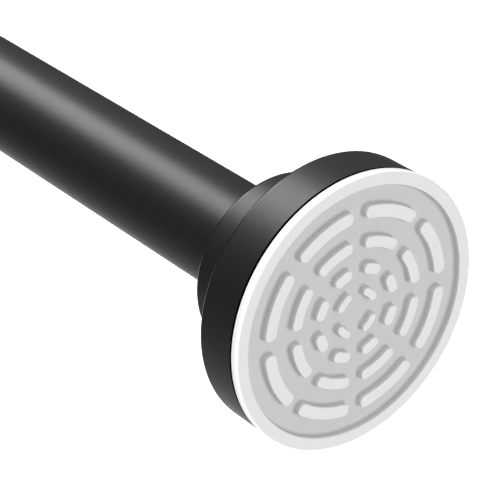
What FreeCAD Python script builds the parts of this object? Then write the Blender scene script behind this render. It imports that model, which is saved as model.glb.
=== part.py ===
import FreeCAD, Part
import math
import os
from FreeCAD import Vector

# Spring tension rod, in millimetres. The rod lies along X: the face of the near pad is the plane x = 0 and
# the rod runs to -X. A place along the rod is its depth behind that face, so depth d is x = -d.

# Tubes
outer_tube_diameter = 25.4
outer_tube_wall = 0.8
outer_tube_length = 358.0
inner_tube_wall = 0.7
telescope_gap = 0.8        # radial space between the two tubes, which the mouth ring fills
shown_length = 40.0        # inner tube that shows between the mouth ring and the far cap
tube_edge_radius = 0.25

# Fits
running_fit = 0.1          # radial clearance of what slides or turns
press_gap = 0.05           # radial clearance drawn where a part is pressed in
end_gap = 0.3              # clearance between faces that meet end to end and move
rib_bite = 0.3             # how deep a rib or key is let into the wall it joins
overrun = 1.0              # how far a cutting body reaches past what it cuts

# End cap
pad_diameter = 64.8
pad_stand_out = 2.04       # how far the pad stands proud of the cup's lip
pad_overhang = 0.1         # how far the pad's rim reaches past the cup
lip_groove_width = 0.6     # the dark line between pad and cup is a groove round the cup's lip
lip_groove_depth = 1.0
cup_depth = 11.33
cup_wall = 1.7
collar_diameter = 43.35
collar_length = 15.57
collar_wall = 2.0
socket_wall = 2.0
cap_floor = 2.0
cap_end_wall = 1.8
cap_edge_radius = 1.1
small_edge_radius = 0.2
cap_ribs = 8
cap_rib_thickness = 1.4
screw_well_diameter = 16.0

# Pad and its tread
pad_plug_depth = 4.0
rim_width = 2.95
tread_depth = 2.0
pad_edge_radius = 0.3
channel_width = 3.45       # the straight channels that part the dashes of a ring
rim_gap = 4.35             # from the rim to the outermost ring
ring_widths = [3.0, 2.65, 2.55, 1.85]
ring_gaps = [4.2, 3.6, 3.1]
ring_dashes = 8
centre_dashes = 4          # dashes of a ring too small to take the full number
dash_rounding = 0.42       # corner radius as a share of the dash's width
shortest_dash = 2.4        # least length of a dash along its inner side

# Mouth ring
ring_sleeve_length = 24.0
ring_flange = 3.0
ring_lip = 0.9             # how far the ring's flange stands out from the tube
ring_edge_radius = 0.6

# Cap screw, washer and tube plug
screw_diameter = 4.0
screw_length = 13.0
screw_head_diameter = 8.0
screw_head_height = 2.6
driver_slot = 1.1          # width of each arm of the driver's cross
driver_length = 5.0
washer_diameter = 10.0
washer_thickness = 0.8
plug_length = 14.0
plug_wall = 1.6
plug_boss_wall = 2.2
plug_ribs = 4

# Lock
park_gap = 1.0             # space left at the tube plug at the shortest setting
lock_lead = 2.0            # travel of the cone nut in one turn
lock_turns = 0.75          # turn of the inner tube between locked and free
lock_length = 24.0
lock_ring_length = 8.0
lock_slits = 4
slit_width = 1.8
grip_grooves = 5
grip_groove_depth = 0.4
grip_groove_width = 1.2
cone_length = 13.5
cone_lead_in = 2.5         # how far the cone's wide end stands out of the sleeve
grip_wall = 1.8            # sleeve's wall over the cone's wide end
cone_taper = 3.0           # radius that the cone loses over its length
cone_gap = 0.15
key_gap = 0.15
stud_diameter = 6.0
stud_tail = 2.0
clip_thickness = 1.0
clip_width = 2.2
clip_opening = 100.0       # degrees left open in a clip
groove_depth = 0.8

# Drive stem and spring
journal_wall = 2.0         # wall of the stem's journal round the stud
shoulder_gap = 2.4         # radial space between the stem's shoulder and the outer tube
shoulder_thickness = 3.0
bush_wall = 3.4            # wall of the bush round the stem
flat_depth = 1.7           # how much each flat takes off the stem's radius
stem_head_thickness = 6.0
spigot_length = 8.0
spring_stroke = 20.0
spring_spare = 1.0         # space left at the shoulder when the spring is fully pressed
bush_length = 14.0
bush_flange = 1.5
crimp_depth = 0.6
crimp_width = 3.0
spring_wire = 1.6
spring_bore_gap = 1.1      # radial space between the spring and the inner tube
spring_length = 80.0
spring_turns = 12
spring_seat_length = 12.0
spring_washer_thickness = 0.8

# Radii worked out from the sizes above
outer_radius = outer_tube_diameter / 2
outer_bore = outer_radius - outer_tube_wall
inner_radius = outer_bore - telescope_gap
inner_bore = inner_radius - inner_tube_wall
pad_radius = pad_diameter / 2
cup_radius = pad_radius - pad_overhang
cup_bore = cup_radius - cup_wall
collar_radius = collar_diameter / 2
cone_wide_radius = outer_bore - running_fit - grip_wall
stud_radius = stud_diameter / 2
journal_radius = stud_radius + journal_wall
stem_radius = inner_bore - bush_wall
spring_radius = inner_bore - spring_bore_gap - spring_wire / 2
spigot_radius = spring_radius - spring_wire / 2 - end_gap

# Depths along the rod, from the near pad's face to the far one
cap_floor_depth = pad_stand_out + cup_depth - cap_floor
tube_start = pad_stand_out + cup_depth
cap_length = tube_start + collar_length
outer_end = tube_start + outer_tube_length
ring_end = outer_end + ring_flange
total_length = ring_end + shown_length + cap_length
inner_end = total_length - tube_start
# The lock stops at the tube plug while the far collar still has the spring's stroke left before the ring.
stud_start = tube_start + plug_length + shown_length - spring_stroke + park_gap
cone_start = stud_start + stud_tail + clip_thickness + lock_lead * lock_turns + end_gap
lock_start = cone_start + cone_lead_in
lock_end = lock_start + lock_length
shoulder_start = lock_end + end_gap
shoulder_end = shoulder_start + shoulder_thickness
bush_start = shoulder_end + spring_stroke + spring_spare
inner_start = bush_start + bush_flange
bush_end = inner_start + bush_length
head_start = bush_end + end_gap
head_end = head_start + stem_head_thickness
spring_start = head_end + spring_washer_thickness
spring_end = spring_start + spring_length
seat_end = spring_end + spring_seat_length

along = Vector(-1, 0, 0)


def rounded_outline(corners):
    """A closed outline in depth and radius. A corner with a third value is rounded to that radius."""
    points = [Vector(-c[0], 0, c[1]) for c in corners]
    count = len(points)
    starts, ends, arcs = [], [], []
    for i, corner in enumerate(corners):
        here = points[i]
        before = points[i - 1] - here
        after = points[(i + 1) % count] - here
        radius = corner[2] if len(corner) > 2 else 0
        if radius <= 0:
            starts.append(here)
            ends.append(here)
            arcs.append(None)
            continue
        half_turn = before.getAngle(after) / 2
        reach = min(radius / math.tan(half_turn), 0.45 * before.Length, 0.45 * after.Length)
        first = here + before.normalize() * reach
        last = here + after.normalize() * reach
        bisector = (before + after).normalize()
        to_centre = reach / math.cos(half_turn)
        middle = here + bisector * (to_centre - reach * math.tan(half_turn))
        starts.append(first)
        ends.append(last)
        arcs.append(Part.Arc(first, middle, last).toShape())
    edges = []
    for i in range(count):
        if arcs[i]:
            edges.append(arcs[i])
        tail, head = ends[i], starts[(i + 1) % count]
        if (head - tail).Length > 1e-6:
            edges.append(Part.LineSegment(tail, head).toShape())
    return Part.Wire(edges)


def turned(corners):
    """A solid of revolution about the rod's axis."""
    face = Part.Face(rounded_outline(corners))
    return face.revolve(Vector(0, 0, 0), Vector(1, 0, 0), 360)


def sleeve(start, end, inner, outer, edge=0):
    """A plain ring between two depths, with its outer edges rounded if asked."""
    return turned([(start, inner), (start, outer, edge), (end, outer, edge), (end, inner)])


def rod(start, end, radius):
    """A solid cylinder between two depths."""
    return Part.makeCylinder(radius, end - start, Vector(-start, 0, 0), along)


def radial_bar(start, end, inner, outer, thickness, angle):
    """A bar that stands out from the axis at an angle, used for ribs, keys, slits and slots."""
    bar = Part.makeBox(end - start, thickness, outer - inner, Vector(-end, -thickness / 2, inner))
    bar.rotate(Vector(0, 0, 0), Vector(1, 0, 0), angle)
    return bar


def even_angles(count, first=0.0):
    return [first + 360.0 * i / count for i in range(count)]


def far_end(shape):
    """The same piece at the rod's other end."""
    return shape.mirror(Vector(-total_length / 2, 0, 0), Vector(1, 0, 0))


# Tread of the pad
def tread_rings():
    """Inner and outer radius and number of dashes of each ring that fits, from the rim inwards."""
    rings = []
    outer = pad_radius - rim_width - rim_gap
    for width, gap in zip(ring_widths, ring_gaps + [0]):
        inner = outer - width
        counts = (ring_dashes, centre_dashes)
        fitting = [count for count in counts if dash_length(inner, count) > shortest_dash]
        if not fitting:
            break
        rings.append((inner, outer, fitting[0]))
        outer = inner - gap
    return rings


def dash_length(radius, count):
    """Length of a dash at a radius, between two of the straight channels."""
    if radius <= channel_width / 2:
        return 0
    return 2 * radius * (math.pi / count - math.asin(channel_width / 2 / radius))


def dash_ring(inner, outer, count):
    """One ring of raised dashes: a flat ring parted by straight channels, with rounded corners."""
    ring = sleeve(0, tread_depth, inner, outer)
    channels = [
        radial_bar(-overrun, tread_depth + overrun, 0, pad_radius, channel_width, angle)
        for angle in even_angles(count)
    ]
    dashes = []
    width = outer - inner
    for dash in ring.cut(Part.makeCompound(channels)).Solids:
        corners = [edge for edge in dash.Edges if is_along_rod(edge)]
        dashes.append(dash.makeFillet(dash_rounding * width, corners))
    return dashes


def is_along_rod(edge):
    """True for a straight edge parallel to the rod."""
    if edge.Curve.TypeId != "Part::GeomLine":
        return False
    return abs(edge.Curve.Direction.x) > 0.999


def end_pad():
    """Rubber pad: a flat rim, a recess with the tread in it, and a plug that fills the cup's mouth."""
    plug_radius = cup_bore - press_gap
    recess = pad_radius - rim_width
    back = pad_stand_out + pad_plug_depth
    body = turned([
        (0, recess),
        (0, pad_radius, pad_edge_radius),
        (pad_stand_out, pad_radius, pad_edge_radius / 2),
        (pad_stand_out, plug_radius),
        (back, plug_radius, pad_edge_radius),
        (back, 0),
        (tread_depth, 0),
        (tread_depth, recess),
    ])
    dashes = []
    for inner, outer, count in tread_rings():
        dashes.extend(dash_ring(inner, outer, count))
    return body.fuse(dashes).removeSplitter()


# End cap: cup in front, collar behind, socket for the tube inside
def end_cap(tube_radius):
    socket = tube_radius + press_gap
    socket_outside = socket + socket_wall
    core_outside = collar_radius - collar_wall
    pad_back = pad_stand_out + pad_plug_depth
    core_end = cap_length - cap_end_wall
    well = screw_well_diameter / 2
    hole = screw_diameter / 2 + end_gap
    body = turned([
        (pad_stand_out, cup_bore),
        (pad_stand_out, cup_radius - lip_groove_depth),
        (pad_stand_out + lip_groove_width, cup_radius - lip_groove_depth),
        (pad_stand_out + lip_groove_width, cup_radius, small_edge_radius / 2),
        (tube_start, cup_radius, cap_edge_radius),
        (tube_start, collar_radius, small_edge_radius),
        (cap_length, collar_radius, cap_edge_radius),
        (cap_length, socket, small_edge_radius),
        (tube_start, socket),
        (tube_start, hole),
        (cap_floor_depth, hole),
        (cap_floor_depth, socket_outside),
        (core_end, socket_outside),
        (core_end, core_outside),
        (cap_floor_depth, core_outside),
        (cap_floor_depth, cup_bore),
    ])
    ribs = []
    for angle in even_angles(cap_ribs, 180.0 / cap_ribs):
        ribs.append(radial_bar(pad_back, cap_floor_depth + rib_bite, well, cup_bore + rib_bite,
                               cap_rib_thickness, angle))
        ribs.append(radial_bar(cap_floor_depth, core_end + rib_bite, socket_outside - rib_bite,
                               core_outside + rib_bite, cap_rib_thickness, angle))
    return body.fuse(ribs).removeSplitter()


# What fixes a cap to its tube
def tube_plug(bore):
    """Moulded plug pressed in the tube's end: a disc, a wall and a boss that the cap screw bites into."""
    outside = bore - press_gap
    hole = screw_diameter / 2 + press_gap
    boss = hole + plug_boss_wall
    end = tube_start + plug_length
    disc_end = tube_start + cap_floor
    body = turned([
        (tube_start, hole),
        (tube_start, outside),
        (end, outside, small_edge_radius),
        (end, outside - plug_wall),
        (disc_end, outside - plug_wall),
        (disc_end, boss),
        (end, boss),
        (end, hole),
    ])
    ribs = [
        radial_bar(disc_end - rib_bite, end - small_edge_radius, boss - rib_bite,
                   outside - plug_wall + rib_bite, cap_rib_thickness, angle)
        for angle in even_angles(plug_ribs)
    ]
    return body.fuse(ribs).removeSplitter()


def cap_washer():
    return sleeve(cap_floor_depth - washer_thickness, cap_floor_depth, screw_diameter / 2 + end_gap,
                  washer_diameter / 2)


def cap_screw():
    """Pan head tapping screw with a cross slot and a blunt tip."""
    seat = cap_floor_depth - washer_thickness
    top = seat - screw_head_height
    tip = seat + screw_length
    shank = screw_diameter / 2
    body = turned([
        (top, 0),
        (top, screw_head_diameter / 2, screw_head_height / 2),
        (seat, screw_head_diameter / 2),
        (seat, shank),
        (tip - shank, shank),
        (tip, shank / 3),
        (tip, 0),
    ])
    reach = driver_length / 2
    slots = [
        radial_bar(top - overrun, top + screw_head_height / 2, -reach, reach, driver_slot, angle)
        for angle in (0, 90)
    ]
    return body.cut(slots)


# Tubes and the ring in the outer tube's mouth
def outer_tube():
    return sleeve(tube_start, outer_end, outer_bore, outer_radius, tube_edge_radius)


def crimped_side(radius, fit=0.0):
    """Corners of a wall at a radius, dipping inwards at the two rolled crimps, from near to far."""
    corners = []
    for middle in ((inner_start + bush_end) / 2, (spring_end + seat_end) / 2):
        half = crimp_width / 2 + fit
        floor = radius - crimp_depth
        corners += [
            (middle - half - crimp_depth, radius, crimp_depth),
            (middle - half / 2, floor, crimp_depth),
            (middle + half / 2, floor, crimp_depth),
            (middle + half + crimp_depth, radius, crimp_depth),
        ]
    return corners


def inner_tube():
    """The thinner tube, rolled inwards at two places to hold the bush and the spring's seat."""
    outside = [(inner_start, inner_radius)] + crimped_side(inner_radius) + [(inner_end, inner_radius)]
    inside = [(inner_start, inner_bore)] + crimped_side(inner_bore) + [(inner_end, inner_bore)]
    return turned(outside + inside[::-1])


def mouth_ring():
    """Guide ring pressed in the outer tube's mouth. Its sleeve is also the stop of the fully drawn rod."""
    bore = inner_radius + running_fit
    return turned([
        (outer_end - ring_sleeve_length, bore),
        (outer_end - ring_sleeve_length, outer_bore - press_gap),
        (outer_end, outer_bore - press_gap),
        (outer_end, outer_radius + ring_lip, ring_edge_radius / 2),
        (ring_end, outer_radius + ring_lip, ring_edge_radius),
        (ring_end, bore, ring_edge_radius / 2),
    ])


# Lock
def cone_radius(depth):
    """Radius of the cone nut at a depth."""
    return cone_wide_radius - cone_taper * (depth - cone_start) / cone_length


def lock_sleeve():
    """Slit sleeve with a cone inside, a solid ring at its far end and grip grooves round its outside."""
    outside = outer_bore - running_fit
    bore = journal_radius + running_fit
    cone_room = cone_start + cone_length + end_gap
    clip_room = journal_radius + clip_width + end_gap
    ring_start = lock_end - lock_ring_length
    corners = [(lock_start, cone_radius(lock_start) + cone_gap), (lock_start, outside)]
    pitch = (lock_length - lock_ring_length) / (grip_grooves + 1)
    for i in range(grip_grooves):
        middle = lock_start + pitch * (i + 1)
        corners += [
            (middle - grip_groove_width / 2, outside),
            (middle - grip_groove_width / 4, outside - grip_groove_depth),
            (middle + grip_groove_width / 4, outside - grip_groove_depth),
            (middle + grip_groove_width / 2, outside),
        ]
    corners += [
        (lock_end, outside, grip_groove_depth),
        (lock_end, bore),
        (ring_start, bore),
        (ring_start, clip_room),
        (cone_room, clip_room),
        (cone_room, cone_radius(cone_room) + cone_gap),
    ]
    body = turned(corners)
    slits = [
        radial_bar(lock_start - overrun, ring_start, 0, outer_radius, slit_width, angle)
        for angle in even_angles(lock_slits, 180.0 / lock_slits)
    ]
    return body.cut(slits)


def lock_cone():
    """Cone nut with keys that ride in the sleeve's slits, so that it can't turn."""
    end = cone_start + cone_length
    bore = stud_radius + running_fit
    body = turned([
        (cone_start, bore),
        (cone_start, cone_radius(cone_start), grip_groove_depth),
        (end, cone_radius(end)),
        (end, bore),
    ])
    key_outside = outer_bore - outer_tube_wall
    key_width = slit_width - 2 * key_gap
    keys = [
        radial_bar(cone_start + cone_lead_in, end, bore + overrun, key_outside, key_width, angle)
        for angle in even_angles(lock_slits, 180.0 / lock_slits)
    ]
    return body.fuse(keys).removeSplitter()


def clip(start, groove_radius, outside):
    """Open spring clip in a groove, with its opening upwards."""
    ring = sleeve(start, start + clip_thickness, groove_radius + press_gap, outside)
    reach = outside + overrun
    half = math.radians(clip_opening / 2)
    corners = [
        (0, 0),
        (reach * math.sin(half), reach * math.cos(half)),
        (0, 2 * reach),
        (-reach * math.sin(half), reach * math.cos(half)),
        (0, 0),
    ]
    wedge = Part.makePolygon([Vector(overrun - start, y, z) for y, z in corners])
    return ring.cut(Part.Face(wedge).extrude(along * (clip_thickness + 2 * overrun)))


def grooved_rod(start, end, radius, groove_start):
    """Corners of a stretch of rod that has a clip groove in it."""
    slack = press_gap
    floor = radius - groove_depth
    return [
        (start, radius, groove_depth / 2),
        (groove_start - slack, radius),
        (groove_start - slack, floor),
        (groove_start + clip_thickness + slack, floor),
        (groove_start + clip_thickness + slack, radius),
        (end, radius),
    ]


stud_clip_start = stud_start + stud_tail
journal_clip_start = lock_end - lock_ring_length - end_gap - clip_thickness
journal_start = journal_clip_start - stud_tail / 2
stud_end = shoulder_end - stud_tail


def lock_stud():
    """Threaded stud that draws the cone nut. It is fast in the drive stem."""
    corners = grooved_rod(stud_start, stud_end, stud_radius, stud_clip_start)
    return turned([(stud_start, 0)] + corners + [(stud_end, 0)])


def stud_clip():
    return clip(stud_clip_start, stud_radius - groove_depth, stud_radius + clip_width)


def stem_clip():
    return clip(journal_clip_start, journal_radius - groove_depth, journal_radius + clip_width)


# Drive stem, bush and spring
def two_flat_bar(start, end, extra=0.0):
    """The stem's round bar with its two flats, or the bore that it slides in."""
    radius = stem_radius + extra
    half = radius - flat_depth
    return rod(start, end, radius).common(
        Part.makeBox(end - start, 2 * radius, 2 * half, Vector(-end, -radius, -half)))


def drive_stem():
    """Journal for the sleeve, shoulder, two-flat stem and the head that presses the spring, in one piece."""
    head = inner_bore - running_fit
    journal = turned(
        [(journal_start, 0)]
        + grooved_rod(journal_start, shoulder_start, journal_radius, journal_clip_start)
        + [
            (shoulder_start, outer_bore - shoulder_gap, end_gap),
            (shoulder_end, outer_bore - shoulder_gap, end_gap),
            (shoulder_end, 0),
        ]
    )
    head_part = turned([
        (head_start, 0),
        (head_start, head, end_gap),
        (head_end, head, end_gap),
        (head_end, spigot_radius),
        (head_end + spigot_length, spigot_radius, groove_depth),
        (head_end + spigot_length, 0),
    ])
    bar = two_flat_bar(shoulder_end - overrun, head_start + overrun)
    bore = rod(journal_start - overrun, stud_end + end_gap, stud_radius + press_gap)
    return journal.fuse([bar, head_part]).cut(bore).removeSplitter()


def guide_bush():
    """Bush crimped in the inner tube's end. Its flange runs in the outer tube, its flats turn the stem."""
    outside = inner_bore - press_gap
    middle = (inner_start + bush_end) / 2
    half = crimp_width / 2 + crimp_depth + end_gap
    floor = outside - crimp_depth - press_gap
    body = turned([
        (bush_start, 0),
        (bush_start, outer_bore - running_fit, end_gap),
        (inner_start, outer_bore - running_fit),
        (inner_start, outside),
        (middle - half, outside),
        (middle - half + crimp_depth, floor),
        (middle + half - crimp_depth, floor),
        (middle + half, outside),
        (bush_end, outside, end_gap),
        (bush_end, 0),
    ])
    bore = two_flat_bar(bush_start - overrun, bush_end + overrun, running_fit)
    return body.cut(bore)


def spring_washer():
    return sleeve(head_end, spring_start, spigot_radius + running_fit, inner_bore - end_gap)


def compression_spring():
    """Round-wire compression spring, modelled as it stands between the washer and its seat."""
    height = spring_length - spring_wire - 2 * press_gap
    pitch = height / spring_turns
    helix = Part.makeHelix(pitch, height, spring_radius)
    wire = Part.Wire(Part.Circle(Vector(spring_radius, 0, 0), Vector(0, 1, 0), spring_wire / 2).toShape())
    coil = Part.Wire(helix.Edges).makePipeShell([wire], True, True)
    coil.rotate(Vector(0, 0, 0), Vector(0, 1, 0), -90)
    coil.translate(Vector(-spring_start - spring_wire / 2 - press_gap, 0, 0))
    return coil


def spring_seat():
    """Plug crimped in the inner tube, with a spigot inside the spring's end."""
    outside = inner_bore - press_gap
    middle = (spring_end + seat_end) / 2
    half = crimp_width / 2 + crimp_depth + end_gap
    floor = outside - crimp_depth - press_gap
    return turned([
        (spring_end - spigot_length, 0),
        (spring_end - spigot_length, spigot_radius, groove_depth),
        (spring_end, spigot_radius),
        (spring_end, outside, end_gap),
        (middle - half, outside),
        (middle - half + crimp_depth, floor),
        (middle + half - crimp_depth, floor),
        (middle + half, outside),
        (seat_end, outside, end_gap),
        (seat_end, 0),
    ])


pieces = {
    "outer_tube": outer_tube(),
    "outer_end_cap": end_cap(outer_radius),
    "outer_pad": end_pad(),
    "outer_tube_plug": tube_plug(outer_bore),
    "outer_cap_screw": cap_screw(),
    "outer_cap_washer": cap_washer(),
    "tube_mouth_ring": mouth_ring(),
    "lock_sleeve": lock_sleeve(),
    "lock_cone": lock_cone(),
    "lock_stud": lock_stud(),
    "stud_clip": stud_clip(),
    "stem_clip": stem_clip(),
    "drive_stem": drive_stem(),
    "spring_washer": spring_washer(),
    "guide_bush": guide_bush(),
    "compression_spring": compression_spring(),
    "spring_seat": spring_seat(),
    "inner_tube": inner_tube(),
    "inner_end_cap": far_end(end_cap(inner_radius)),
    "inner_pad": far_end(end_pad()),
    "inner_tube_plug": far_end(tube_plug(inner_bore)),
    "inner_cap_screw": far_end(cap_screw()),
    "inner_cap_washer": far_end(cap_washer()),
}

os.makedirs("parts", exist_ok=True)
for name, shape in pieces.items():
    solids = shape.Solids
    state = "valid" if shape.isValid() else "NOT VALID"
    print(name, len(solids), "solid", state, round(shape.Volume, 1), "mm3")
    solid = solids[0] if len(solids) == 1 else Part.makeCompound(solids)
    solid.exportStep("parts/" + name + ".step")
print("length", round(total_length, 2), "closed", round(total_length - shown_length, 2))
print("draws out by", round(outer_end - ring_sleeve_length - inner_start, 2))
print("spring seat at", round(spring_end, 2))
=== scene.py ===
import bmesh
import bpy
import math
from mathutils import Matrix, Vector


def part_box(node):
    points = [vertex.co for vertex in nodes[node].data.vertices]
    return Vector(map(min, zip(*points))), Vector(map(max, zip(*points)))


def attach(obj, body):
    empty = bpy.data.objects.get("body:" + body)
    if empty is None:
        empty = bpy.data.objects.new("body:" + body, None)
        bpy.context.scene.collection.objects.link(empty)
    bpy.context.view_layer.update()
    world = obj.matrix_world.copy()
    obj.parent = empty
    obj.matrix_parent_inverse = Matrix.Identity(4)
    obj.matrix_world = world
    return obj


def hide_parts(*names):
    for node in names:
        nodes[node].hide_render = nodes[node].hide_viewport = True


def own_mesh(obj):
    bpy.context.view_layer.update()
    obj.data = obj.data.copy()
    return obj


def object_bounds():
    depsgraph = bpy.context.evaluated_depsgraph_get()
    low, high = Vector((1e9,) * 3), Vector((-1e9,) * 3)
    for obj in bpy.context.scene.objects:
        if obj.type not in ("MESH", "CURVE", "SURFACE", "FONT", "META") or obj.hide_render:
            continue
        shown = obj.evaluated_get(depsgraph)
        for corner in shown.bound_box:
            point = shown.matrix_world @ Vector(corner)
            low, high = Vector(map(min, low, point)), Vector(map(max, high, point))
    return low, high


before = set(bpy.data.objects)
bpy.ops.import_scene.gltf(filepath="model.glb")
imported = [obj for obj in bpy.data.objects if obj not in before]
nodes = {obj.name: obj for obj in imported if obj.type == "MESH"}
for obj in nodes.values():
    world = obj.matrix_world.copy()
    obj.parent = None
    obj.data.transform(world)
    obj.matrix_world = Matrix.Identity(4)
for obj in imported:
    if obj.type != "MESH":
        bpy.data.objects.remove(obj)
cad_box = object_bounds()

# Outer tube.
# A rolled and welded steel tube, 25.4 mm across, with a smooth satin black coat baked on. It carries the near
# cap at one end and the guide ring at the other.
tube_low, tube_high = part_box("outer_tube")
tube_radius = tube_high[2]
tube_wall = 0.0008
tube_start = -tube_high[0]
tube_end = -tube_low[0]
tube_edge = 0.0002
rod_length = -cad_box[0][0]
coat_black = "#0d0d0d"
merge_within = 1e-7
same_place = 1e-6
round_steps = 5


def linear(hex_colour, alpha=1.0):
    """An sRGB hex colour as Blender's linear values."""
    parts = [int(hex_colour[i:i + 2], 16) / 255 for i in (1, 3, 5)]
    return [p / 12.92 if p <= 0.04045 else ((p + 0.055) / 1.055) ** 2.4 for p in parts] + [alpha]


def add(tree, kind, settings=None, links=None):
    """Adds a node, sets its properties and inputs, and links its inputs to other nodes' outputs."""
    node = tree.nodes.new(kind)
    for name, value in (settings or {}).items():
        if name in node.inputs:
            node.inputs[name].default_value = value
        else:
            setattr(node, name, value)
    for name, (source, output) in (links or {}).items():
        tree.links.new(source.outputs[output], node.inputs[name])
    return node


def new_material(name):
    """An empty material with its output, and the place of a point in metres."""
    material = bpy.data.materials.new(name)
    material.use_nodes = True
    tree = material.node_tree
    tree.nodes.clear()
    output = add(tree, "ShaderNodeOutputMaterial")
    place = add(tree, "ShaderNodeTexCoord")
    return material, tree, output, place


def from_middle(tree, place):
    """How far along the rod a point lies from the rod's middle, in metres, for what both ends have alike."""
    split = add(tree, "ShaderNodeSeparateXYZ", links={"Vector": (place, "Object")})
    centred = add(tree, "ShaderNodeMapRange", {"clamp": False, "From Min": -rod_length, "From Max": 0.0,
                                               "To Min": -rod_length / 2, "To Max": rod_length / 2},
                  {"Value": (split, "X")})
    return add(tree, "ShaderNodeMath", {"operation": "ABSOLUTE"}, {"Value": (centred, "Result")})


def turned(corners, steps=160):
    """A closed profile of (depth, radius, rounding) spun about the rod's axis, its ring edges rounded."""
    bm = bmesh.new()
    verts = [bm.verts.new((-c[0], 0, c[1])) for c in corners]
    edges = []
    for i in range(len(verts)):
        if corners[i - 1][1] + corners[i][1] > 0:
            edges.append(bm.edges.new((verts[i - 1], verts[i])))
    bmesh.ops.spin(bm, geom=verts + edges, cent=(0, 0, 0), axis=(1, 0, 0), angle=2 * math.pi, steps=steps,
                   use_merge=True)
    bmesh.ops.remove_doubles(bm, verts=bm.verts, dist=merge_within)
    for corner in corners:
        if len(corner) < 3 or corner[1] == 0:
            continue
        ring = [e for e in bm.edges if all(is_at(v, corner) for v in e.verts)]
        bmesh.ops.bevel(bm, geom=ring, offset=corner[2], offset_type="OFFSET", segments=round_steps,
                        profile=0.5, affect="EDGES", clamp_overlap=True, material=-1)
    bmesh.ops.recalc_face_normals(bm, faces=bm.faces)
    return bm


def is_at(vert, corner):
    """True for a vertex on the ring that a profile corner makes."""
    radius = math.hypot(vert.co.y, vert.co.z)
    return abs(vert.co.x + corner[0]) < same_place and abs(radius - corner[1]) < same_place


def finish_piece(bm, name, material, body, stands_for):
    """Makes a mesh into a smooth piece that rides on a body in place of its solid."""
    mesh = bpy.data.meshes.new(name)
    bm.to_mesh(mesh)
    bm.free()
    mesh.shade_smooth()
    mesh.set_sharp_from_angle(angle=math.radians(50))
    mesh.materials.append(material)
    piece = bpy.data.objects.new(name, mesh)
    bpy.context.scene.collection.objects.link(piece)
    weighted = piece.modifiers.new("even_normals", "WEIGHTED_NORMAL")
    weighted.keep_sharp = True
    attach(piece, body)
    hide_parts(stands_for)
    return piece


def satin_black_coat():
    """Baked enamel on steel: near black, with a soft sheen and the faint ripple of a sprayed coat."""
    material, tree, output, place = new_material("satin_black_coat")
    ripple = add(tree, "ShaderNodeTexNoise", {"Scale": 1 / 0.004, "Detail": 3.0, "Roughness": 0.5},
                 {"Vector": (place, "Object")})
    sheen = add(tree, "ShaderNodeMapRange", {"To Min": 0.38, "To Max": 0.43}, {"Value": (ripple, "Fac")})
    bump = add(tree, "ShaderNodeBump", {"Strength": 0.02, "Distance": 0.0001}, {"Height": (ripple, "Fac")})
    shader = add(tree, "ShaderNodeBsdfPrincipled", {"Base Color": linear(coat_black), "IOR": 1.35},
                 {"Roughness": (sheen, "Result"), "Normal": (bump, "Normal")})
    tree.links.new(shader.outputs["BSDF"], output.inputs["Surface"])
    return material


coat = satin_black_coat()
outer_tube = turned([
    (tube_start, tube_radius - tube_wall),
    (tube_start, tube_radius, tube_edge),
    (tube_end, tube_radius, tube_edge),
    (tube_end, tube_radius - tube_wall),
])
finish_piece(outer_tube, "steel_outer_tube", coat, "outer", "outer_tube")

# Guide ring in the outer tube's mouth.
# A black acetal ring: its thin sleeve lines the last 24 mm of the bore and its flange covers the tube's cut
# end, so that the inner tube slides on plastic and not on the steel edge.
ring_low, ring_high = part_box("tube_mouth_ring")
ring_end = -ring_low[0]
ring_start = -ring_high[0]
ring_lip = ring_high[2]
running_gap = 0.0001
press_gap = 0.00005
ring_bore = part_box("inner_tube")[1][2] + running_gap
ring_sleeve = tube_radius - tube_wall - press_gap
ring_edge = 0.0006
acetal_black = "#121212"


def black_acetal():
    """Moulded acetal: black and waxy, a little glossier than the caps."""
    material, tree, output, place = new_material("black_acetal")
    flow = add(tree, "ShaderNodeTexNoise", {"Scale": 1 / 0.003, "Detail": 3.0}, {"Vector": (place, "Object")})
    sheen = add(tree, "ShaderNodeMapRange", {"To Min": 0.3, "To Max": 0.38}, {"Value": (flow, "Fac")})
    shader = add(tree, "ShaderNodeBsdfPrincipled", {"Base Color": linear(acetal_black), "IOR": 1.48},
                 {"Roughness": (sheen, "Result")})
    tree.links.new(shader.outputs["BSDF"], output.inputs["Surface"])
    return material


mouth_ring = turned([
    (ring_start, ring_bore),
    (ring_start, ring_sleeve),
    (tube_end, ring_sleeve),
    (tube_end, ring_lip, ring_edge / 2),
    (ring_end, ring_lip, ring_edge),
    (ring_end, ring_bore, ring_edge / 2),
])
finish_piece(mouth_ring, "acetal_mouth_ring", black_acetal(), "outer", "tube_mouth_ring")

# Inner tube.
# The thinner steel tube that draws out of the outer one, in the same coat. Two rolled crimps hold the guide
# bush and the spring's seat, and the seat's one shows when the rod is drawn out far.
inner_low, inner_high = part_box("inner_tube")
inner_radius = inner_high[2]
inner_wall = 0.0007
inner_start = -inner_high[0]
inner_end = -inner_low[0]
crimp_depth = 0.0006
crimp_half = 0.0015
bush_length = 0.014
bush_middle = inner_start + bush_length / 2
seat_low, seat_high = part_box("spring_seat")
seat_length = 0.012
seat_middle = -seat_low[0] - seat_length / 2


def crimped(radius):
    """Profile corners of a wall at a radius, with the two crimps in it."""
    corners = []
    for middle in (bush_middle, seat_middle):
        corners += [
            (middle - crimp_half - crimp_depth, radius, crimp_depth / 2),
            (middle - crimp_half / 2, radius - crimp_depth, crimp_depth / 2),
            (middle + crimp_half / 2, radius - crimp_depth, crimp_depth / 2),
            (middle + crimp_half + crimp_depth, radius, crimp_depth / 2),
        ]
    return corners


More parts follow.
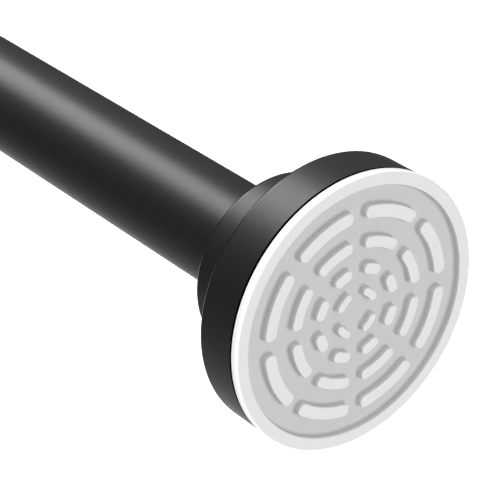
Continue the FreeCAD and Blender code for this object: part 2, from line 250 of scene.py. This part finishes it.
outside = [(inner_start, inner_radius)] + crimped(inner_radius) + [(inner_end, inner_radius)]
inside = [(inner_start, inner_radius - inner_wall)] + crimped(inner_radius - inner_wall)
inside.append((inner_end, inner_radius - inner_wall))
finish_piece(turned(outside + inside[::-1]), "steel_inner_tube", coat, "inner", "inner_tube")

# End caps.
# Black moulded caps: a collar round the tube's socket, and a shallow cup in front for the pad. Eight webs
# stiffen the hollow between socket and collar, and eight more the cup behind the pad.
cup_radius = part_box("outer_end_cap")[1][2]
lip = -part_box("outer_end_cap")[1][0]
cap_length = -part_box("outer_end_cap")[0][0]
cup_wall = 0.0017
collar_radius = 0.021675
collar_wall = 0.002
socket_wall = 0.002
cap_floor = 0.002
cap_end_wall = 0.0018
cap_edge = 0.0011
small_edge = 0.0002
groove_width = 0.0006
groove_depth = 0.001
screw_hole = 0.0023
web_thickness = 0.0014
web_count = 8
screw_well = 0.008
web_bite = 0.0004
pad_plug_depth = 0.004
pad_back = lip + pad_plug_depth
plastic_black = "#0c0c0c"
# Painted shade: the dead black given to the groove round the lip, for the shade in a thin gap.
groove_painted_shade = "#020202"
edge_sheen = 0.15
edge_margin = 0.00002
groove_fade = 0.00005


def satin_black_abs():
    """Injection moulded plastic: near black, with the fine even grain that a spark-eroded mould leaves. The
    two rear edges are smoother. The groove round the lip has painted shade: dead black with no reflection."""
    material, tree, output, place = new_material("satin_black_abs")
    grain = add(tree, "ShaderNodeTexNoise", {"Scale": 1 / 0.0004, "Detail": 2.0, "Roughness": 0.6},
                {"Vector": (place, "Object")})
    cloud = add(tree, "ShaderNodeTexNoise", {"Scale": 1 / 0.012, "Detail": 2.0},
                {"Vector": (place, "Object")})
    sheen = add(tree, "ShaderNodeMapRange", {"To Min": 0.37, "To Max": 0.42}, {"Value": (cloud, "Fac")})
    bump = add(tree, "ShaderNodeBump", {"Strength": 0.04, "Distance": 0.0001}, {"Height": (grain, "Fac")})
    groove_end = rod_length / 2 - lip - groove_width
    groove = {"From Min": groove_end - 2 * groove_fade, "From Max": groove_end - groove_fade}
    reach = from_middle(tree, place)
    edges = []
    for rear in (tube_start, cap_length):
        edge = add(tree, "ShaderNodeMath", {"operation": "COMPARE"}, {0: (reach, "Value")})
        edge.inputs[1].default_value = rod_length / 2 - rear + cap_edge / 2
        edge.inputs[2].default_value = cap_edge / 2 - edge_margin
        edges.append((edge, "Value"))
    smoother = add(tree, "ShaderNodeMath", {"operation": "MAXIMUM"}, {0: edges[0], 1: edges[1]})
    sheen = add(tree, "ShaderNodeMix", {"B": edge_sheen},
                {"Factor": (smoother, "Value"), "A": (sheen, "Result")})
    # Painted shade: the groove round the lip turns dead black and loses its reflection.
    painted_groove_shade = add(tree, "ShaderNodeMapRange", groove, {"Value": (reach, "Value")})
    tone_with_painted_shade = add(tree, "ShaderNodeMixRGB", {"Color1": linear(plastic_black), "Color2": linear(groove_painted_shade)},
               {"Fac": (painted_groove_shade, "Result")})
    glint_with_painted_shade = add(tree, "ShaderNodeMapRange", dict(groove, **{"To Min": 0.5, "To Max": 0.0}),
                {"Value": (reach, "Value")})
    shader = add(tree, "ShaderNodeBsdfPrincipled", {"IOR": 1.35},
                 {"Base Color": (tone_with_painted_shade, "Color"), "Specular IOR Level": (glint_with_painted_shade, "Result"),
                  "Roughness": (sheen, "Result"), "Normal": (bump, "Normal")})
    tree.links.new(shader.outputs["BSDF"], output.inputs["Surface"])
    return material


def bar(bm, start, end, inner, outer, thickness, angle):
    """Adds a bar that stands out from the rod's axis at an angle in degrees."""
    middle = Vector((-(start + end) / 2, 0, (inner + outer) / 2))
    size = Matrix.Diagonal((end - start, thickness, outer - inner, 1))
    turn = Matrix.Rotation(math.radians(angle), 4, "X")
    bmesh.ops.create_cube(bm, size=1, matrix=turn @ Matrix.Translation(middle) @ size)


def put_at_far_end(bm):
    """Mirrors a near piece to the other end of the rod."""
    bmesh.ops.scale(bm, vec=(-1, 1, 1), verts=bm.verts)
    bmesh.ops.translate(bm, vec=(-rod_length, 0, 0), verts=bm.verts)
    bmesh.ops.reverse_faces(bm, faces=bm.faces)


def end_cap(socket):
    """The cap for a tube of the socket's radius, at the near end."""
    socket_outside = socket + socket_wall
    core_outside = collar_radius - collar_wall
    core_end = cap_length - cap_end_wall
    floor = tube_start - cap_floor
    bm = turned([
        (lip, cup_radius - cup_wall),
        (lip, cup_radius - groove_depth),
        (lip + groove_width, cup_radius - groove_depth),
        (lip + groove_width, cup_radius, small_edge / 2),
        (tube_start, cup_radius, cap_edge),
        (tube_start, collar_radius, small_edge),
        (cap_length, collar_radius, cap_edge),
        (cap_length, socket, small_edge),
        (tube_start, socket),
        (tube_start, screw_hole),
        (floor, screw_hole),
        (floor, socket_outside),
        (core_end, socket_outside),
        (core_end, core_outside),
        (floor, core_outside),
        (floor, cup_radius - cup_wall),
    ])
    for i in range(web_count):
        angle = 360 * (i + 0.5) / web_count
        bar(bm, pad_back, floor + web_bite, screw_well, cup_radius - cup_wall + web_bite, web_thickness,
            angle)
        bar(bm, floor, core_end + web_bite, socket_outside - web_bite, core_outside + web_bite, web_thickness,
            angle)
    return bm


black_abs = satin_black_abs()
near_cap = end_cap(tube_radius + press_gap)
finish_piece(near_cap, "abs_near_cap", black_abs, "outer", "outer_end_cap")
far_cap = end_cap(inner_radius + press_gap)
put_at_far_end(far_cap)
finish_piece(far_cap, "abs_far_cap", black_abs, "inner", "inner_end_cap")

# Pads.
# White thermoplastic rubber, moulded in one piece: a flat rim round a recess in which four rings of rounded
# dashes stand as high as the rim. The pad is pressed into the cup and its rim reaches a little past it.
pad_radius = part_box("outer_pad")[1][2]
pad_depth = -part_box("outer_pad")[0][0]
rim_width = 0.00295
tread_depth = 0.002
pad_edge = 0.00025
tread_edge = 0.00025
tread_foot = 0.0007
channel = 0.00345
rim_gap = 0.00435
ring_widths = (0.003, 0.00265, 0.00255, 0.00185)
ring_gaps = (0.0042, 0.0036, 0.0031, 0)
ring_dashes = (8, 8, 8, 4)
corner_share = 0.42
foot_reach = 0.7
root_depth = 0.0002
root_rise = 0.00018
side_lean = 0.00002
long_arc = 10
short_arc = 6
foot_steps = 5
edge_steps = 4
rubber_white = "#ececec"
# Painted shade: the grey the rubber takes deep in the recess, where shade falls among the dashes.
recess_painted_shade = "#cfcfcf"


def white_rubber():
    """Soft moulded rubber: matte white, with painted shade that greys it deeper in the recess."""
    material, tree, output, place = new_material("white_rubber")
    fine = add(tree, "ShaderNodeTexNoise", {"Scale": 1 / 0.0005, "Detail": 2.0},
               {"Vector": (place, "Object")})
    # Painted shade: the rubber greys from just under the dashes' tops down to the recess floor.
    painted_recess_shade = add(tree, "ShaderNodeMapRange", {"From Min": rod_length / 2 - tread_edge,
                                            "From Max": rod_length / 2 - tread_depth + tread_foot},
               {"Value": (from_middle(tree, place), "Value")})
    tone_with_painted_shade = add(tree, "ShaderNodeMixRGB", {"Color1": linear(rubber_white), "Color2": linear(recess_painted_shade)},
               {"Fac": (painted_recess_shade, "Result")})
    bump = add(tree, "ShaderNodeBump", {"Strength": 0.05, "Distance": 0.0001}, {"Height": (fine, "Fac")})
    shader = add(tree, "ShaderNodeBsdfPrincipled", {"Roughness": 0.6, "IOR": 1.45},
                 {"Base Color": (tone_with_painted_shade, "Color"), "Normal": (bump, "Normal")})
    tree.links.new(shader.outputs["BSDF"], output.inputs["Surface"])
    return material


def arc(centre, radius, first, last, count):
    """Points of an arc in the pad's plane, as (Y, Z), from one angle to another."""
    angles = [first + (last - first) * i / count for i in range(count + 1)]
    return [(centre[0] + radius * math.cos(a), centre[1] + radius * math.sin(a)) for a in angles]


def dash_outline(inner, outer, half_turn, half_channel, corner):
    """The outline of one dash that lies evenly about the +Y direction, between two straight channels."""
    sides = []
    for radius, centre_radius in ((outer, outer - corner), (inner, inner + corner)):
        swing = math.asin((half_channel + corner) / centre_radius)
        sides.append((radius, centre_radius, half_turn - swing))
    (_, outer_centre, outer_angle), (_, inner_centre, inner_angle) = sides
    square = math.pi / 2
    end = half_turn + square

    def centre(distance, angle):
        return (distance * math.cos(angle), distance * math.sin(angle))

    points = arc((0, 0), outer, -outer_angle, outer_angle, long_arc)
    points += arc(centre(outer_centre, outer_angle), corner, outer_angle, end, short_arc)[1:]
    points += arc(centre(inner_centre, inner_angle), corner, end, inner_angle + math.pi, short_arc)
    points += arc((0, 0), inner, inner_angle, -inner_angle, short_arc)[1:]
    points += arc(centre(inner_centre, -inner_angle), corner, math.pi - inner_angle, 2 * math.pi - end,
                  short_arc)[1:]
    points += arc(centre(outer_centre, -outer_angle), corner, -end, -outer_angle, short_arc)[:-1]
    return points


def dash(bm, inner, outer, count, index, corner):
    """Adds one raised dash: a foot that runs out into the floor, a leaning side and a rounded top edge."""
    reach = tread_foot * foot_reach
    half_turn = math.pi / count
    outline = dash_outline(inner - reach, outer + reach, half_turn, channel / 2 - reach, corner + reach)
    turn = Matrix.Rotation(2 * half_turn * (index + 0.5), 3, "X")
    verts = [bm.verts.new(turn @ Vector((-tread_depth - root_depth, y, z))) for y, z in outline]
    face = bm.faces.new(verts)
    face.normal_update()
    if face.normal.x < 0:
        face.normal_flip()
    made = bmesh.ops.extrude_face_region(bm, geom=[face])
    top = [g for g in made["geom"] if isinstance(g, bmesh.types.BMFace)]
    bmesh.ops.translate(bm, vec=(root_rise, 0, 0), verts=list({v for f in top for v in f.verts}))
    steps = []
    for i in range(foot_steps):
        low, high = (math.radians(90 / foot_steps * n) for n in (i, i + 1))
        inset = reach * (math.sin(high) - math.sin(low))
        steps.append((inset, tread_foot * (math.cos(low) - math.cos(high))))
    steps.append((side_lean, tread_depth - tread_foot - tread_edge))
    for i in range(edge_steps):
        low, high = (math.radians(90 / edge_steps * n) for n in (i, i + 1))
        inset = tread_edge * (math.cos(low) - math.cos(high))
        steps.append((inset, tread_edge * (math.sin(high) - math.sin(low))))
    for inset, rise in steps:
        bmesh.ops.inset_region(bm, faces=top, thickness=inset, depth=rise, use_boundary=True,
                               use_even_offset=True)


def end_pad():
    """The pad at the near end."""
    recess = pad_radius - rim_width
    plug = cup_radius - cup_wall - press_gap
    bm = turned([
        (0, recess, tread_edge),
        (0, pad_radius, pad_edge),
        (lip, pad_radius, small_edge / 2),
        (lip, plug),
        (pad_depth, plug, pad_edge),
        (pad_depth, 0),
        (tread_depth, 0),
        (tread_depth, recess, tread_foot),
    ])
    outer = recess - rim_gap
    for width, gap, count in zip(ring_widths, ring_gaps, ring_dashes):
        for index in range(count):
            dash(bm, outer - width, outer, count, index, corner_share * width)
        outer -= width + gap
    bmesh.ops.recalc_face_normals(bm, faces=bm.faces)
    return bm


rubber = white_rubber()
finish_piece(end_pad(), "rubber_near_pad", rubber, "outer", "outer_pad")
far_pad = end_pad()
put_at_far_end(far_pad)
finish_piece(far_pad, "rubber_far_pad", rubber, "inner", "inner_pad")

# Tube plugs, guide bush, drive stem and spring seat.
# Black nylon mouldings that are hidden in the tubes. The plugs hold the cap screws, the bush guides the stem,
# and the seat takes the spring's push.
nylon_black = "#1c1c1c"


def black_nylon():
    """Moulded nylon: black, a little waxy, with faint flow marks."""
    material, tree, output, place = new_material("black_nylon")
    flow = add(tree, "ShaderNodeTexNoise", {"Scale": 1 / 0.003, "Detail": 3.0}, {"Vector": (place, "Object")})
    sheen = add(tree, "ShaderNodeMapRange", {"To Min": 0.4, "To Max": 0.55}, {"Value": (flow, "Fac")})
    shader = add(tree, "ShaderNodeBsdfPrincipled", {"Base Color": linear(nylon_black), "IOR": 1.5},
                 {"Roughness": (sheen, "Result")})
    tree.links.new(shader.outputs["BSDF"], output.inputs["Surface"])
    return material


def dress(names, material):
    """Gives solids that keep their own mesh a finished material."""
    for name in names:
        for slot in nodes[name].material_slots:
            slot.material = material


dress(["outer_tube_plug", "inner_tube_plug", "guide_bush", "drive_stem", "spring_seat"], black_nylon())

# Lock sleeve and cone nut.
# The slit sleeve is white acetal, slippery enough to let the cone spread it. The cone nut is turned brass.
acetal_white = "#ecebe4"
brass_yellow = "#d9b36a"


def white_acetal():
    """Moulded acetal: off-white, slightly glossy, with a faint mottled sheen."""
    material, tree, output, place = new_material("white_acetal")
    mottle = add(tree, "ShaderNodeTexNoise", {"Scale": 1 / 0.002}, {"Vector": (place, "Object")})
    sheen = add(tree, "ShaderNodeMapRange", {"To Min": 0.3, "To Max": 0.4}, {"Value": (mottle, "Fac")})
    shader = add(tree, "ShaderNodeBsdfPrincipled", {"Base Color": linear(acetal_white), "IOR": 1.48},
                 {"Roughness": (sheen, "Result")})
    tree.links.new(shader.outputs["BSDF"], output.inputs["Surface"])
    return material


def turned_brass():
    """Brass from the lathe: yellow metal with fine rings round the rod's axis."""
    material, tree, output, place = new_material("turned_brass")
    rings = add(tree, "ShaderNodeTexWave", {"wave_type": "BANDS", "bands_direction": "X", "Scale": 1 / 0.002,
                                            "Distortion": 1.0}, {"Vector": (place, "Object")})
    sheen = add(tree, "ShaderNodeMapRange", {"To Min": 0.22, "To Max": 0.34}, {"Value": (rings, "Fac")})
    shader = add(tree, "ShaderNodeBsdfPrincipled", {"Base Color": linear(brass_yellow), "Metallic": 1.0},
                 {"Roughness": (sheen, "Result")})
    tree.links.new(shader.outputs["BSDF"], output.inputs["Surface"])
    return material


dress(["lock_sleeve"], white_acetal())
dress(["lock_cone"], turned_brass())

# Screws, washers, clips and stud.
# Small steel hardware, zinc plated: bright but slightly cloudy.
zinc_grey = "#c9ccd0"


def zinc_plate():
    """Zinc plated steel: pale bluish metal with a cloudy, uneven sheen."""
    material, tree, output, place = new_material("zinc_plate")
    cloud = add(tree, "ShaderNodeTexNoise", {"Scale": 1 / 0.0025, "Detail": 3.0},
                {"Vector": (place, "Object")})
    sheen = add(tree, "ShaderNodeMapRange", {"To Min": 0.25, "To Max": 0.42}, {"Value": (cloud, "Fac")})
    shader = add(tree, "ShaderNodeBsdfPrincipled", {"Base Color": linear(zinc_grey), "Metallic": 1.0},
                 {"Roughness": (sheen, "Result")})
    tree.links.new(shader.outputs["BSDF"], output.inputs["Surface"])
    return material


zinc = zinc_plate()
dress(["outer_cap_screw", "inner_cap_screw", "outer_cap_washer", "inner_cap_washer", "lock_stud", "stud_clip",
       "stem_clip", "spring_washer"], zinc)

# Compression spring.
# Twelve turns of 1.6 mm spring wire inside the inner tube, between the stem's washer and the seat. It
# shortens as the far end of the rod is pushed in.
spring_low, spring_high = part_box("compression_spring")
wire = 0.0008
coil_radius = spring_high[2] - wire
coil_turns = 12
coil_steps = 32
wire_sides = 12
wire_grey = "#8b8d90"


def drawn_wire():
    """Oiled spring steel: dark grey metal with drawing lines along the wire."""
    material, tree, output, place = new_material("drawn_spring_wire")
    lines = add(tree, "ShaderNodeTexNoise", {"Scale": 1 / 0.0015}, {"Vector": (place, "Object")})
    sheen = add(tree, "ShaderNodeMapRange", {"To Min": 0.3, "To Max": 0.45}, {"Value": (lines, "Fac")})
    shader = add(tree, "ShaderNodeBsdfPrincipled", {"Base Color": linear(wire_grey), "Metallic": 1.0},
                 {"Roughness": (sheen, "Result")})
    tree.links.new(shader.outputs["BSDF"], output.inputs["Surface"])
    return material


rise = (spring_high[0] - spring_low[0] - 2 * wire) / (coil_turns * coil_steps)
start = Vector((spring_low[0] + wire, 0, coil_radius))
coil = bmesh.new()
bmesh.ops.create_circle(coil, cap_ends=True, radius=wire, segments=wire_sides,
                        matrix=Matrix.Translation(start) @ Matrix.Rotation(math.pi / 2, 4, "X"))
bmesh.ops.spin(coil, geom=coil.verts[:] + coil.edges[:] + coil.faces[:], cent=(0, 0, 0), axis=(1, 0, 0),
               dvec=(rise, 0, 0), angle=2 * math.pi * coil_turns, steps=coil_turns * coil_steps)
bmesh.ops.recalc_face_normals(coil, faces=coil.faces)
spring = finish_piece(coil, "steel_spring", drawn_wire(), "inner", "compression_spring")
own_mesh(spring)

# Studio.
# A floor well under the rod with a pool of light behind the near end, and a soft sky, brighter above and
# towards the far end. The lamps light the tube from the top, the pad's face from the front, and its side.
floor_drop = 0.9
floor_size = 20
floor_grey = "#a0a0a0"
lamp_aim = (-0.05, 0, 0)


def studio_floor():
    """A wide matt floor that only stages the object."""
    mesh = bpy.data.meshes.new("floor")
    bm = bmesh.new()
    bmesh.ops.create_grid(bm, x_segments=1, y_segments=1, size=floor_size,
                          matrix=Matrix.Translation((0, 0, -floor_drop)))
    bm.to_mesh(mesh)
    bm.free()
    floor = bpy.data.objects.new("floor", mesh)
    bpy.context.scene.collection.objects.link(floor)
    material, tree, output, place = new_material("pale_floor")
    shader = add(tree, "ShaderNodeBsdfDiffuse", {"Color": linear(floor_grey)})
    tree.links.new(shader.outputs["BSDF"], output.inputs["Surface"])
    mesh.materials.append(material)


def lamp(name, direction, distance, size, size_y, power):
    """A soft rectangular lamp that shines on the near end of the rod from a direction."""
    light = bpy.data.lights.new(name, "AREA")
    light.shape = "RECTANGLE"
    light.size = size
    light.size_y = size_y
    light.energy = power
    holder = bpy.data.objects.new(name, light)
    bpy.context.scene.collection.objects.link(holder)
    aim = Vector(lamp_aim)
    way = Vector(direction).normalized()
    holder.location = aim + way * distance
    holder.rotation_euler = way.to_track_quat("Z", "Y").to_euler()
    holder.visible_camera = False


studio_floor()
world = bpy.data.worlds.new("studio_sky")
world.use_nodes = True
sky = world.node_tree
way = add(sky, "ShaderNodeSeparateXYZ", links={"Vector": (add(sky, "ShaderNodeTexCoord"), "Generated")})
upward = add(sky, "ShaderNodeMapRange", {"From Min": 0.0, "From Max": 0.6, "To Min": 0.18, "To Max": 0.58},
             {"Value": (way, "Z")})
forward = add(sky, "ShaderNodeMapRange", {"From Min": -0.1, "From Max": 0.5, "To Min": 1.0, "To Max": 0.6},
              {"Value": (way, "X")})
level = add(sky, "ShaderNodeMath", {"operation": "MULTIPLY"}, {0: (upward, "Result"), 1: (forward, "Result")})
sky.links.new(level.outputs["Value"], sky.nodes["Background"].inputs["Strength"])
sky.nodes["Background"].inputs["Color"].default_value = (1, 1, 1, 1)
bpy.context.scene.world = world
lamp("top_lamp", (-0.58, -0.03, 0.80), 1.5, 0.75, 1.5, 34)
lamp("front_lamp", (1.0, -0.05, 0.12), 2.0, 1.6, 1.6, 29.7)
lamp("side_lamp", (0.0, -0.85, -0.42), 1.6, 0.15, 0.9, 31)
pool = bpy.data.lights.new("floor_lamp", "SPOT")
pool.energy = 560
pool.spot_size = math.radians(80)
pool.spot_blend = 1.0
pool.shadow_soft_size = 0.1
pool_holder = bpy.data.objects.new("floor_lamp", pool)
pool_holder.location = (-1.3, 1.05, 1.0)
bpy.context.scene.collection.objects.link(pool_holder)

# Camera.
# It looks at the near pad from the photograph's side, with the rod running away to the upper left.
camera_drop = 28.955
camera_turn = 52.044
camera_data = bpy.data.cameras.new("camera")
camera_data.lens = 152.13
camera_data.sensor_width = 36
camera_data.clip_start = 0.01
camera = bpy.data.objects.new("camera", camera_data)
camera.location = (0.29063, -0.25578, 0.22932)
camera.rotation_euler = (math.radians(90 - camera_drop), 0, math.radians(camera_turn))
bpy.context.scene.collection.objects.link(camera)
bpy.context.scene.camera = camera
bpy.context.scene.view_settings.view_transform = "Standard"
